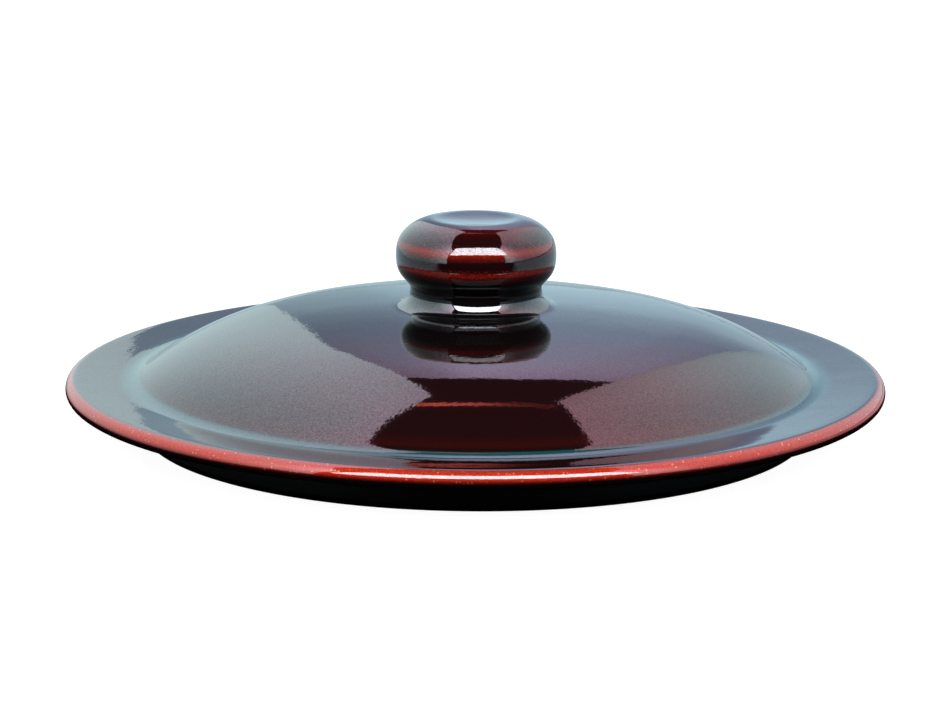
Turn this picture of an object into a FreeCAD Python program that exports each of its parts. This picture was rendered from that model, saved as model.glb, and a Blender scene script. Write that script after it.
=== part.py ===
import FreeCAD, Part

import math
import os

import Sketcher

# The lid of a clay cooking pot, thrown on a wheel: one solid of stoneware.
# The frame has its origin at the middle of the foot of the locating ring, with +Z up the axis.
# Every size is in millimetres or degrees and stands in the sheet, once.

SIZES = {
    "Rim and flange": {
        "rim_radius": 120.0,
        "rim_top_height": 16.9,
        "rim_top_round": 3.1,
        "rim_under_round": 2.2,
        "gutter_height": 15.9,
        "gutter_round": 9.0,
        "seat_radius": 113.0,
        "seat_height": 10.4,
    },
    "Dome": {
        "crown_height": 37.4,
        "crown_arc_radius": 395.0,
        "crown_arc_turn": 8.5,
        "haunch_arc_radius": 89.5,
        "wall": 6.0,
    },
    "Locating ring": {
        "ring_radius": 99.0,
        "ring_wall": 6.0,
        "ring_foot_bevel": 2.0,
        "ring_root_bevel": 1.5,
        "ring_inner_bevel": 8.0,
    },
    "Knob": {
        "knob_height": 62.5,
        "knob_dish_height": 61.8,
        "knob_dish_arc": 95.0,
        "knob_shoulder_arc": 12.2,
        "knob_cheek_arc": 7.8,
        "knob_belly_arc": 16.0,
        "knob_belly_radius": 23.5,
        "knob_belly_height": 51.7,
        "knob_under_arc": 7.3,
        "knob_under_slope": 42.0,
        "knob_neck_arc": 2.0,
        "knob_neck_radius": 19.3,
        "knob_neck_height": 42.2,
        "knob_root_round": 5.2,
    },
}

SIZE = {name: value for group in SIZES.values() for name, value in group.items()}

START, END, CENTRE = 1, 2, 3
ORIGIN_POINT = (-1, 1)
UPRIGHT_AXIS = -2
LEVEL_AXIS = -1


def write_sheet(doc):
    """Puts every driving dimension in a spreadsheet, under its own alias."""
    sheet = doc.addObject("Spreadsheet::Sheet", "sizes")
    row = 1
    for heading, group in SIZES.items():
        sheet.set(f"A{row}", heading)
        row += 1
        for name, value in group.items():
            sheet.set(f"A{row}", name)
            sheet.set(f"B{row}", str(value))
            sheet.setAlias(f"B{row}", name)
            row += 1
    doc.recompute()
    return sheet


def origin_feature(body, role):
    """The body's own origin plane or axis of that role."""
    return next(item for item in body.Origin.OriginFeatures if item.Role == role)


class Section:
    """A half section of a turned form, drawn in its body's XZ plane as lines and arcs.

    A run is one line or arc, with the ends by which the outline enters and leaves it.
    """

    def __init__(self, body, name):
        self.sketch = body.newObject("Sketcher::SketchObject", name)
        self.sketch.AttachmentSupport = [(origin_feature(body, "XZ_Plane"), "")]
        self.sketch.MapMode = "FlatFace"

    def line(self, start, end):
        """A straight run from start to end."""
        ends = [FreeCAD.Vector(point[0], point[1], 0) for point in (start, end)]
        return self.sketch.addGeometry(Part.LineSegment(*ends)), START, END

    def arc(self, centre, radius, first, last):
        """An arc run between two compass headings of its radius, in degrees from +X.

        It runs clockwise where last is below first, and the solver trims its ends.
        """
        circle = Part.Circle(
            FreeCAD.Vector(centre[0], centre[1], 0), FreeCAD.Vector(0, 0, 1), radius
        )
        low, high = math.radians(min(first, last)), math.radians(max(first, last))
        index = self.sketch.addGeometry(Part.ArcOfCircle(circle, low, high))
        return (index, END, START) if last < first else (index, START, END)

    def tie(self, kind, *terms):
        """Adds a constraint that holds no size."""
        self.sketch.addConstraint(Sketcher.Constraint(kind, *terms))

    def size(self, kind, name, *terms, formula=None):
        """Adds a sized constraint and binds it to the sheet, as it is or by a formula."""
        index = self.sketch.addConstraint(Sketcher.Constraint(kind, *terms))
        self.sketch.renameConstraint(index, name)
        self.sketch.setExpression(f"Constraints.{name}", formula or f"sizes.{name}")

    def place(self, axis, name, point, value, formula=None):
        """Sets how far a point lies from the origin along X or Y."""
        self.size(f"Distance{axis}", name, *ORIGIN_POINT, *point, value, formula=formula)

    def smooth(self, run, following):
        """The outline passes from one run to the next without a corner."""
        self.tie("Tangent", run[0], run[2], following[0], following[1])

    def corner(self, run, following):
        """The outline passes from one run to the next with a corner."""
        self.tie("Coincident", run[0], run[2], following[0], following[1])


def heading_of(centre, other):
    """The direction from one point to another, in degrees from +X."""
    return math.degrees(math.atan2(other[1] - centre[1], other[0] - centre[0]))


def beside(centre, reach, height):
    """The point at that height and at that distance from centre, on its outer side."""
    return (centre[0] + math.sqrt(reach**2 - (height - centre[1]) ** 2), height)


def crossing(first, first_reach, second, second_reach):
    """The outer of the two points at the given distances from two centres."""
    span = math.dist(first, second)
    along = (first_reach**2 - second_reach**2 + span**2) / (2 * span)
    aside = math.sqrt(first_reach**2 - along**2)
    ux, uy = (second[0] - first[0]) / span, (second[1] - first[1]) / span
    sides = [
        (first[0] + ux * along - side * uy * aside, first[1] + uy * along + side * ux * aside)
        for side in (-1, 1)
    ]
    return max(sides)


def on_arc(centre, radius, heading):
    """The point of an arc at a heading of its radius."""
    turn = math.radians(heading)
    return (centre[0] + radius * math.cos(turn), centre[1] + radius * math.sin(turn))


def draw_shell(body):
    """The closed section of dome, flange, rim and locating ring, clockwise from the axis."""
    s = SIZE
    section = Section(body, "shell_section")

    # Outer crown and haunch: a flat cap round the axis, and a steeper arc tangent to it.
    crown_centre = (0, s["crown_height"] - s["crown_arc_radius"])
    turned = 90 - s["crown_arc_turn"]
    haunch_centre = on_arc(crown_centre, s["crown_arc_radius"] - s["haunch_arc_radius"], turned)
    crown = section.arc(crown_centre, s["crown_arc_radius"], 90, turned)

    # The dome ends in a rounded gutter, and from it the flange rises to the rim.
    gutter_centre = beside(
        haunch_centre,
        s["haunch_arc_radius"] + s["gutter_round"],
        s["gutter_height"] + s["gutter_round"],
    )
    foot_heading = heading_of(haunch_centre, gutter_centre)
    haunch = section.arc(haunch_centre, s["haunch_arc_radius"], turned, foot_heading)
    rim_centre = (s["rim_radius"] - s["rim_top_round"], s["rim_top_height"] - s["rim_top_round"])
    rounds = s["gutter_round"] + s["rim_top_round"]
    flange_slope = heading_of(gutter_centre, rim_centre) + math.degrees(
        math.asin(rounds / math.dist(gutter_centre, rim_centre))
    )
    gutter = section.arc(
        gutter_centre, s["gutter_round"], 180 + foot_heading, 270 + flange_slope
    )
    flange_top = section.line(
        on_arc(gutter_centre, s["gutter_round"], 270 + flange_slope),
        on_arc(rim_centre, s["rim_top_round"], 90 + flange_slope),
    )

    # The rim is rounded more above than below, and bevelled down to the flat seat.
    rim_top = section.arc(rim_centre, s["rim_top_round"], 90 + flange_slope, 0)
    under_centre = (s["rim_radius"] - s["rim_under_round"], rim_centre[1])
    seat_edge = (s["seat_radius"], s["seat_height"])
    bevel_heading = heading_of(seat_edge, under_centre) - math.degrees(
        math.asin(s["rim_under_round"] / math.dist(seat_edge, under_centre))
    )
    rim_under = section.arc(under_centre, s["rim_under_round"], 0, bevel_heading - 90)
    bevel = section.line(
        on_arc(under_centre, s["rim_under_round"], bevel_heading - 90), seat_edge
    )

    # The seat runs in to the ring, whose foot is bevelled on both sides of a flat face.
    ring, bore, foot = s["ring_radius"], s["ring_radius"] - s["ring_wall"], s["ring_foot_bevel"]
    root_height = s["seat_height"] - s["ring_root_bevel"]
    seat = section.line(seat_edge, (ring + s["ring_root_bevel"], s["seat_height"]))
    ring_root = section.line((ring + s["ring_root_bevel"], s["seat_height"]), (ring, root_height))
    ring_outside = section.line((ring, root_height), (ring, foot))
    foot_outer = section.line((ring, foot), (ring - foot, 0))
    foot_face = section.line((ring - foot, 0), (bore + foot, 0))
    foot_inner = section.line((bore + foot, 0), (bore, foot))

    # Inside, the dome is a wall's thickness below the outer arcs, bevelled down to the ring.
    inner_haunch = s["haunch_arc_radius"] - s["wall"]
    bevel_top = (
        bore - s["ring_inner_bevel"],
        haunch_centre[1]
        + math.sqrt(inner_haunch**2 - (bore - s["ring_inner_bevel"] - haunch_centre[0]) ** 2),
    )
    bevel_foot = (bore, bevel_top[1] - s["ring_inner_bevel"])
    ring_inside = section.line((bore, foot), bevel_foot)
    ring_top = section.line(bevel_foot, bevel_top)
    haunch_inside = section.arc(
        haunch_centre, inner_haunch, heading_of(haunch_centre, bevel_top), turned
    )
    crown_inside = section.arc(crown_centre, s["crown_arc_radius"] - s["wall"], turned, 90)
    axis_side = section.line((0, s["crown_height"] - s["wall"]), (0, s["crown_height"]))

    smooth_runs = [
        (crown, haunch),
        (haunch, gutter),
        (gutter, flange_top),
        (flange_top, rim_top),
        (rim_top, rim_under),
        (rim_under, bevel),
        (haunch_inside, crown_inside),
    ]
    for run, following in smooth_runs:
        section.smooth(run, following)
    ring_runs = [bevel, seat, ring_root, ring_outside, foot_outer, foot_face, foot_inner]
    ring_runs += [ring_inside, ring_top, haunch_inside]
    for run, following in zip(ring_runs, ring_runs[1:]):
        section.corner(run, following)
    for run, following in [(crown_inside, axis_side), (axis_side, crown)]:
        section.corner(run, following)

    section.tie("Horizontal", seat[0])
    for run in (ring_outside, ring_inside):
        section.tie("Vertical", run[0])
    section.tie("PointOnObject", crown[0], CENTRE, UPRIGHT_AXIS)
    section.tie("PointOnObject", crown[0], crown[1], UPRIGHT_AXIS)
    section.tie("PointOnObject", crown_inside[0], crown_inside[2], UPRIGHT_AXIS)
    section.tie("PointOnObject", foot_face[0], START, LEVEL_AXIS)
    section.tie("PointOnObject", foot_face[0], END, LEVEL_AXIS)
    section.tie("Horizontal", rim_top[0], CENTRE, rim_top[0], rim_top[2])
    section.tie("Coincident", haunch_inside[0], CENTRE, haunch[0], CENTRE)
    section.tie("Coincident", crown_inside[0], CENTRE, crown[0], CENTRE)

    section.place("Y", "crown_height", (crown[0], crown[1]), s["crown_height"])
    section.size("Radius", "crown_arc_radius", crown[0], s["crown_arc_radius"])
    section.size("Angle", "crown_arc_turn", crown[0], math.radians(s["crown_arc_turn"]))
    section.size("Radius", "haunch_arc_radius", haunch[0], s["haunch_arc_radius"])
    section.size("Radius", "gutter_round", gutter[0], s["gutter_round"])
    section.place(
        "Y", "gutter_centre_height", (gutter[0], CENTRE), gutter_centre[1],
        formula="sizes.gutter_height + sizes.gutter_round",
    )
    section.size("Radius", "rim_top_round", rim_top[0], s["rim_top_round"])
    section.place(
        "X", "rim_centre_radius", (rim_top[0], CENTRE), rim_centre[0],
        formula="sizes.rim_radius - sizes.rim_top_round",
    )
    section.place(
        "Y", "rim_centre_height", (rim_top[0], CENTRE), rim_centre[1],
        formula="sizes.rim_top_height - sizes.rim_top_round",
    )
    section.size("Radius", "rim_under_round", rim_under[0], s["rim_under_round"])
    section.place("X", "seat_radius", (seat[0], START), s["seat_radius"])
    section.place("Y", "seat_height", (seat[0], START), s["seat_height"])
    section.place("X", "ring_radius", (ring_outside[0], START), ring)
    section.place(
        "X", "ring_root_radius", (seat[0], END), ring + s["ring_root_bevel"],
        formula="sizes.ring_radius + sizes.ring_root_bevel",
    )
    section.place(
        "Y", "ring_root_height", (ring_outside[0], START), root_height,
        formula="sizes.seat_height - sizes.ring_root_bevel",
    )
    section.place("Y", "ring_foot_bevel", (ring_outside[0], END), foot)
    section.place(
        "X", "foot_outer_radius", (foot_face[0], START), ring - foot,
        formula="sizes.ring_radius - sizes.ring_foot_bevel",
    )
    section.place(
        "X", "foot_inner_radius", (foot_face[0], END), bore + foot,
        formula="sizes.ring_radius - sizes.ring_wall + sizes.ring_foot_bevel",
    )
    section.tie("Horizontal", ring_outside[0], END, ring_inside[0], START)
    section.place(
        "X", "ring_inner_radius", (ring_inside[0], START), bore,
        formula="sizes.ring_radius - sizes.ring_wall",
    )
    section.place(
        "X", "bevel_top_radius", (ring_top[0], END), bevel_top[0],
        formula="sizes.ring_radius - sizes.ring_wall - sizes.ring_inner_bevel",
    )
    section.size(
        "DistanceY", "ring_inner_bevel", ring_top[0], START, ring_top[0], END, s["ring_inner_bevel"]
    )
    section.size(
        "Radius", "haunch_inner_radius", haunch_inside[0], inner_haunch,
        formula="sizes.haunch_arc_radius - sizes.wall",
    )
    return section.sketch


def draw_knob(body):
    """The closed section of the knob, clockwise from the dish of its top to the axis."""
    s = SIZE
    section = Section(body, "knob_section")

    # The top is a shallow dish whose edge rolls over the shoulder and the cheek to the belly.
    dish_centre = (0, s["knob_dish_height"] + s["knob_dish_arc"])
    shoulder_centre = beside(
        dish_centre,
        s["knob_dish_arc"] + s["knob_shoulder_arc"],
        s["knob_height"] - s["knob_shoulder_arc"],
    )
    belly_centre = (s["knob_belly_radius"] - s["knob_belly_arc"], s["knob_belly_height"])
    cheek_centre = crossing(
        shoulder_centre,
        s["knob_shoulder_arc"] - s["knob_cheek_arc"],
        belly_centre,
        s["knob_belly_arc"] - s["knob_cheek_arc"],
    )
    dish_heading = heading_of(dish_centre, shoulder_centre)
    shoulder_heading = heading_of(shoulder_centre, cheek_centre)
    cheek_heading = heading_of(belly_centre, cheek_centre)
    dish = section.arc(dish_centre, s["knob_dish_arc"], -90, dish_heading)
    shoulder = section.arc(
        shoulder_centre, s["knob_shoulder_arc"], 180 + dish_heading, shoulder_heading
    )
    cheek = section.arc(cheek_centre, s["knob_cheek_arc"], shoulder_heading, cheek_heading)

    # Under the belly the knob draws in to a narrow neck, where the fingers close.
    neck_centre = (s["knob_neck_radius"] + s["knob_neck_arc"], s["knob_neck_height"])
    under_heading = -s["knob_under_slope"]
    neck_point = on_arc(neck_centre, s["knob_neck_arc"], 180 + under_heading)
    across = (math.cos(math.radians(under_heading)), math.sin(math.radians(under_heading)))
    offset = neck_point[0] * across[0] + neck_point[1] * across[1] - s["knob_under_arc"]
    reach = s["knob_belly_arc"] - s["knob_under_arc"]
    lead = offset - belly_centre[0] * across[0] - belly_centre[1] * across[1]
    swing = math.degrees(math.acos(lead / reach))
    under_centre = on_arc(belly_centre, reach, under_heading + swing)
    belly_end = heading_of(belly_centre, under_centre)
    belly = section.arc(belly_centre, s["knob_belly_arc"], cheek_heading, belly_end)
    under = section.arc(under_centre, s["knob_under_arc"], belly_end, under_heading)
    under_point = on_arc(under_centre, s["knob_under_arc"], under_heading)
    slope = section.line(under_point, neck_point)
    neck = section.arc(neck_centre, s["knob_neck_arc"], 180 + under_heading, 180)
    depth = s["crown_height"] - s["wall"] / 2
    shaft = section.line(
        (s["knob_neck_radius"], s["knob_neck_height"]), (s["knob_neck_radius"], depth)
    )
    base = section.line((s["knob_neck_radius"], depth), (0, depth))
    axis_side = section.line((0, depth), (0, s["knob_dish_height"]))

    turning = [dish, shoulder, cheek, belly, under, slope, neck, shaft]
    for run, following in zip(turning, turning[1:]):
        section.smooth(run, following)
    for run, following in [(shaft, base), (base, axis_side), (axis_side, dish)]:
        section.corner(run, following)
    section.tie("Vertical", shaft[0])
    section.tie("Horizontal", base[0])
    section.tie("PointOnObject", dish[0], CENTRE, UPRIGHT_AXIS)
    section.tie("PointOnObject", dish[0], dish[1], UPRIGHT_AXIS)
    section.tie("PointOnObject", base[0], END, UPRIGHT_AXIS)

    section.place("Y", "knob_dish_height", (dish[0], dish[1]), s["knob_dish_height"])
    section.size("Radius", "knob_dish_arc", dish[0], s["knob_dish_arc"])
    section.size("Radius", "knob_shoulder_arc", shoulder[0], s["knob_shoulder_arc"])
    section.place(
        "Y", "shoulder_centre_height", (shoulder[0], CENTRE), shoulder_centre[1],
        formula="sizes.knob_height - sizes.knob_shoulder_arc",
    )
    section.size("Radius", "knob_cheek_arc", cheek[0], s["knob_cheek_arc"])
    section.size("Radius", "knob_belly_arc", belly[0], s["knob_belly_arc"])
    section.place(
        "X", "belly_centre_radius", (belly[0], CENTRE), belly_centre[0],
        formula="sizes.knob_belly_radius - sizes.knob_belly_arc",
    )
    section.place("Y", "knob_belly_height", (belly[0], CENTRE), s["knob_belly_height"])
    section.size("Radius", "knob_under_arc", under[0], s["knob_under_arc"])
    section.size("Angle", "knob_under_slope", neck[0], math.radians(s["knob_under_slope"]))
    section.size("Radius", "knob_neck_arc", neck[0], s["knob_neck_arc"])
    section.place("X", "knob_neck_radius", (shaft[0], START), s["knob_neck_radius"])
    section.place("Y", "knob_neck_height", (shaft[0], START), s["knob_neck_height"])
    section.place(
        "Y", "knob_root_depth", (base[0], END), depth,
        formula="sizes.crown_height - sizes.wall / 2",
    )
    return section.sketch


def turn(body, sketch, name):
    """Turns a half section a full circle round the body's upright axis."""
    solid = body.newObject("PartDesign::Revolution", name)
    solid.Profile = sketch
    solid.ReferenceAxis = (origin_feature(body, "Z_Axis"), [""])
    solid.Angle = 360
    return solid


def edges_at(shape, radius, height):
    """The names of the shape's edges that run round the axis at that radius and height."""
    names = []
    for index, edge in enumerate(shape.Edges, 1):
        if edge.Degenerated:
            continue
        points = edge.discretize(7)
        off = max(
            abs(math.hypot(point.x, point.y) - radius) + abs(point.z - height) for point in points
        )
        if off < 0.01:
            names.append(f"Edge{index}")
    return names


def build_lid(doc):
    """The whole lid: the turned shell, and the knob luted to it with a rounded root."""
    body = doc.addObject("PartDesign::Body", "lid")
    body.Label = "lid"
    turn(body, draw_shell(body), "shell")
    knob = turn(body, draw_knob(body), "knob")
    doc.recompute()

    root = body.newObject("PartDesign::Fillet", "knob_root")
    cap, neck = SIZE["crown_arc_radius"], SIZE["knob_neck_radius"]
    foot_height = SIZE["crown_height"] - cap + math.sqrt(cap**2 - neck**2)
    edges = edges_at(knob.Shape, neck, foot_height)
    root.Base = (knob, edges)
    root.setExpression("Radius", "sizes.knob_root_round")
    body.Tip = root
    body.Placement = FreeCAD.Placement()
    doc.recompute()
    return body


def check(doc, bodies):
    """Stops the build where any object failed or any solid is missing or invalid."""
    for item in doc.Objects:
        if "Invalid" in item.State or "Error" in item.State:
            raise RuntimeError(f"{item.Name} failed: {item.State}")
        if item.isDerivedFrom("Sketcher::SketchObject") and not item.FullyConstrained:
            raise RuntimeError(f"{item.Name} isn't fully constrained")
    for body in bodies:
        shape = body.Shape
        if shape.isNull() or not shape.isValid() or len(shape.Solids) != 1:
            raise RuntimeError(f"{body.Label} isn't one valid solid")


def main():
    """Builds the document, checks it and writes each sub-part's shape."""
    doc = FreeCAD.newDocument("pot_lid")
    write_sheet(doc)
    bodies = [build_lid(doc)]
    check(doc, bodies)
    os.makedirs("parts", exist_ok=True)
    for body in bodies:
        box = body.Shape.BoundBox
        litres = body.Shape.Volume / 1e6
        body.Shape.exportStep(f"parts/{body.Label}.step")
        print(f"{body.Label}: {box.XLength:.2f} x {box.YLength:.2f} x {box.ZLength:.2f} mm, {litres:.3f} l")


main()
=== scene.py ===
import logging
import math
from dataclasses import dataclass, field
from enum import Enum

import bpy
from mathutils import Matrix, Vector


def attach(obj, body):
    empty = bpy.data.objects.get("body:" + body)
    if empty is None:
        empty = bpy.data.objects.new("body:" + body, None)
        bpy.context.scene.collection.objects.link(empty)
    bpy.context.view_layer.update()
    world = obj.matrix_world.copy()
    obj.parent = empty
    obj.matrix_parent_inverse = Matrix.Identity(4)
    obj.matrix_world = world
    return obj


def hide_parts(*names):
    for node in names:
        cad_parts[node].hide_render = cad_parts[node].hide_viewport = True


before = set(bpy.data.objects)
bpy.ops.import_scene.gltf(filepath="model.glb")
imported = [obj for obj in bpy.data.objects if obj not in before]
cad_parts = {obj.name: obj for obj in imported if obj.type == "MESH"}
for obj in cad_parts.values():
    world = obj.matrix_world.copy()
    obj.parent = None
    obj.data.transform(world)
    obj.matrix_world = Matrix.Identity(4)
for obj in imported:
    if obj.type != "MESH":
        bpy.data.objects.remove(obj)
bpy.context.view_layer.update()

# The looks of a thrown stoneware pot lid in a glossy iron-red glaze: one turned piece that takes
# the place of the CAD solid. It stands on a pale floor between two tall side panels, with a cloth
# and a faint warm bar behind it and one large softbox high over the camera.
# The object's own sizes are in millimetres, and to_metres turns them to Blender's units.

IMAGE_WIDTH_PX = 945

MILLIMETRE = 0.001
SAME_POINT_MM = 0.01
PANEL_AIM_MM = 30.0
LEFTWARDS = -1.0

# A speck's edge and its full core, as shares of the distance from one speck to the next.
SPECK_EDGE = 0.34
SPECK_CORE = 0.18

log = logging.getLogger("pot_lid")

Point = tuple[float, float]
Span = tuple[float, float]
Steps = list[tuple[float, float]]
Bands = list[tuple[float, str]]
Colour = tuple[float, float, float, float]
Tree = bpy.types.NodeTree
Socket = bpy.types.NodeSocket

WHITE: Colour = (1.0, 1.0, 1.0, 1.0)


class Ray(Enum):
    """The kinds of ray that a studio piece can be hidden from."""

    CAMERA = "camera"
    SURFACE = "diffuse"
    MIRROR = "glossy"
    THROUGH = "transmission"
    HAZE = "volume_scatter"
    SHADOW = "shadow"


def hide_from(thing: bpy.types.Object, rays: tuple[Ray, ...]) -> None:
    """Lets some kinds of ray pass a card or a lamp by."""
    for ray in rays:
        setattr(thing, f"visible_{ray.value}", False)


def to_metres(millimetres: float) -> float:
    """Millimetres in Blender's metres."""
    return millimetres * MILLIMETRE


def to_millimetres(metres: float) -> float:
    """Blender's metres in millimetres."""
    return metres / MILLIMETRE


def linear(hex_colour: str) -> Colour:
    """Turns an sRGB hex colour to the linear values that a shader takes, by the standard's curve.

    Args:
        hex_colour: The colour, such as "#a03010".

    Returns:
        Red, green and blue, and an alpha of one.
    """
    channels = [int(hex_colour[place : place + 2], 16) / 255 for place in (1, 3, 5)]
    bent = [
        value / 12.92 if value <= 0.04045 else ((value + 0.055) / 1.055) ** 2.4
        for value in channels
    ]
    return (bent[0], bent[1], bent[2], 1.0)


def add_node(
    tree: Tree, kind: str, inputs: dict | None = None, **settings: object
) -> bpy.types.Node:
    """Adds a node with its settings, its values and its links.

    Args:
        tree: The node tree.
        kind: The shader node's type, such as "Math".
        inputs: For each input socket, a value or the output socket that feeds it.
        **settings: The node's own properties.

    Returns:
        The new node.
    """
    node = tree.nodes.new(f"ShaderNode{kind}")
    for name, value in settings.items():
        setattr(node, name, value)
    for name, value in (inputs or {}).items():
        if isinstance(value, Socket):
            tree.links.new(value, node.inputs[name])
        else:
            node.inputs[name].default_value = value
    return node


def new_material(name: str) -> tuple[bpy.types.Material, Tree]:
    """A new material with an empty node tree, and that tree."""
    material = bpy.data.materials.new(name)
    material.use_nodes = True
    material.node_tree.nodes.clear()
    return material, material.node_tree


def new_plane(name: str, width: float, depth: float) -> bpy.types.Object:
    """Adds a flat sheet that lies on the origin.

    Args:
        name: The sheet's name.
        width: Its metres along X.
        depth: Its metres along Y.

    Returns:
        The sheet, in object mode.
    """
    bpy.ops.object.select_all(action="DESELECT")
    bpy.ops.mesh.primitive_plane_add(size=1.0)
    plane = bpy.context.active_object
    plane.name = name
    bpy.ops.object.mode_set(mode="EDIT")
    bpy.ops.mesh.select_all(action="SELECT")
    bpy.ops.transform.resize(value=(width, depth, 1.0))
    bpy.ops.object.mode_set(mode="OBJECT")
    return plane


def heading_of(centre: Point, other: Point) -> float:
    """The direction from one point to another, in degrees from outwards."""
    return math.degrees(math.atan2(other[1] - centre[1], other[0] - centre[0]))


def on_arc(centre: Point, radius: float, heading: float) -> Point:
    """The point of an arc at a heading of its radius."""
    turn = math.radians(heading)
    return (centre[0] + radius * math.cos(turn), centre[1] + radius * math.sin(turn))


def beside(centre: Point, reach: float, height: float) -> Point:
    """The point at that height and at that distance from a centre, on its outer side."""
    return (centre[0] + math.sqrt(reach**2 - (height - centre[1]) ** 2), height)


def crossing(first: Point, first_reach: float, second: Point, second_reach: float) -> Point:
    """The outer of the two points at the given distances from two centres.

    Args:
        first: One centre.
        first_reach: The distance from it.
        second: The other centre.
        second_reach: The distance from that one.

    Returns:
        The crossing that lies further from the axis.
    """
    span = math.dist(first, second)
    along = (first_reach**2 - second_reach**2 + span**2) / (2 * span)
    aside = math.sqrt(first_reach**2 - along**2)
    ux, uy = (second[0] - first[0]) / span, (second[1] - first[1]) / span
    sides = [
        (first[0] + ux * along - side * uy * aside, first[1] + uy * along + side * ux * aside)
        for side in (-1, 1)
    ]
    return max(sides)


@dataclass
class Outline:
    """A half section, as points of radius and height in millimetres.

    Attributes:
        chord: The longest step along an arc, and half the longest along a straight run.
        turn: The widest step along an arc, in degrees.
        points: The points so far.
    """

    chord: float = 1.25
    turn: float = 7.0
    points: list[Point] = field(default_factory=list)

    def line(self, end: Point) -> None:
        """Runs straight on in even steps.

        Args:
            end: The point that it runs to.
        """
        start = self.points[-1]
        steps = max(1, math.ceil(math.dist(start, end) / (2 * self.chord)))
        for step in range(1, steps + 1):
            share = step / steps
            self.points.append(
                (start[0] + (end[0] - start[0]) * share, start[1] + (end[1] - start[1]) * share)
            )

    def arc(self, centre: Point, radius: float, first: float, last: float) -> None:
        """Runs along an arc between two headings of its radius, in degrees.

        Args:
            centre: The arc's centre.
            radius: Its radius.
            first: The heading of its first point, which the outline may have reached already.
            last: The heading of its last point.
        """
        sweep = abs(last - first)
        length = math.radians(sweep) * radius
        steps = max(2, math.ceil(sweep / self.turn), math.ceil(length / self.chord))
        start = 1 if self.points else 0
        for step in range(start, steps + 1):
            self.points.append(on_arc(centre, radius, first + (last - first) * step / steps))


@dataclass
class Knob:
    """The bun-shaped knob: a shallow dish on top, a round belly and a drawn-in neck."""

    height: float = 62.5
    dish_height: float = 61.8
    dish_arc: float = 95.0
    shoulder_arc: float = 12.2
    cheek_arc: float = 7.8
    belly_arc: float = 16.0
    belly_radius: float = 23.5
    belly_height: float = 51.7
    under_arc: float = 7.3
    under_slope: float = 42.0
    neck_arc: float = 2.0
    neck_radius: float = 19.3
    neck_height: float = 42.2
    root_round: float = 5.2

    def draw(self, outline: Outline, crown_centre: Point, crown_arc: float) -> None:
        """Adds the knob's section, from the middle of its top down to the dome.

        Args:
            outline: The outline that gets the section.
            crown_centre: The centre of the crown's arc.
            crown_arc: The radius of that arc, on which the rounded root ends.
        """
        dish_centre = (0.0, self.dish_height + self.dish_arc)
        shoulder_centre = beside(
            dish_centre, self.dish_arc + self.shoulder_arc, self.height - self.shoulder_arc
        )
        belly_centre = (self.belly_radius - self.belly_arc, self.belly_height)
        from_shoulder = self.shoulder_arc - self.cheek_arc
        from_belly = self.belly_arc - self.cheek_arc
        cheek_centre = crossing(shoulder_centre, from_shoulder, belly_centre, from_belly)
        dish_heading = heading_of(dish_centre, shoulder_centre)
        shoulder_heading = heading_of(shoulder_centre, cheek_centre)
        cheek_heading = heading_of(belly_centre, cheek_centre)
        neck_centre = (self.neck_radius + self.neck_arc, self.neck_height)
        slope = math.radians(-self.under_slope)
        neck_point = on_arc(neck_centre, self.neck_arc, 180 - self.under_slope)
        offset = neck_point[0] * math.cos(slope) + neck_point[1] * math.sin(slope)
        middle = belly_centre[0] * math.cos(slope) + belly_centre[1] * math.sin(slope)
        reach = self.belly_arc - self.under_arc
        swing = math.degrees(math.acos((offset - self.under_arc - middle) / reach))
        under_centre = on_arc(belly_centre, reach, swing - self.under_slope)
        belly_end = heading_of(belly_centre, under_centre)

        outline.arc(dish_centre, self.dish_arc, -90, dish_heading)
        outline.arc(shoulder_centre, self.shoulder_arc, 180 + dish_heading, shoulder_heading)
        outline.arc(cheek_centre, self.cheek_arc, shoulder_heading, cheek_heading)
        outline.arc(belly_centre, self.belly_arc, cheek_heading, belly_end)
        outline.arc(under_centre, self.under_arc, belly_end, -self.under_slope)
        outline.line(neck_point)
        outline.arc(neck_centre, self.neck_arc, 180 - self.under_slope, 180)
        root_reach = self.neck_radius + self.root_round
        root_rise = math.sqrt((crown_arc + self.root_round) ** 2 - root_reach**2)
        root_centre = (root_reach, crown_centre[1] + root_rise)
        outline.line((self.neck_radius, root_centre[1]))
        foot_heading = heading_of(crown_centre, root_centre)
        outline.arc(root_centre, self.root_round, 180, 180 + foot_heading)


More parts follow.
